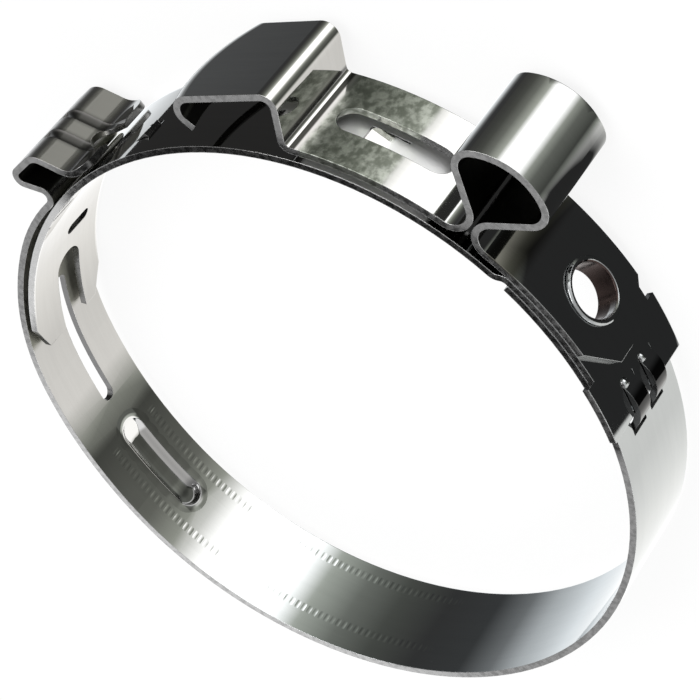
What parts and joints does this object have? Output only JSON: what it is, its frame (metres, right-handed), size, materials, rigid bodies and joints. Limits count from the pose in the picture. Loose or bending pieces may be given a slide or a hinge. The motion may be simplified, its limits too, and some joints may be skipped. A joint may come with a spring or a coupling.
{
  "type": "snap lock hose clamp",
  "caption": "Spring steel snap lock hose clamp: a band with a loop ear to squeeze, a box hook that snaps over a ribbed hook, and a bridge strip under the closure.",
  "frame": {"origin": "centre of the hose bore, in the middle of the strip's width", "axes": "+Z along the hose, and the loop ear that is squeezed stands on +Y"},
  "size_m": [0.073, 0.0802, 0.0144],
  "materials": {
    "spring_steel": "bright rolled"
  },
  "bodies": {
    "root": {"ring_band": "spring_steel", "bridge_strip": "spring_steel", "tension_strip": "spring_steel"}
  },
  "joints": []
}
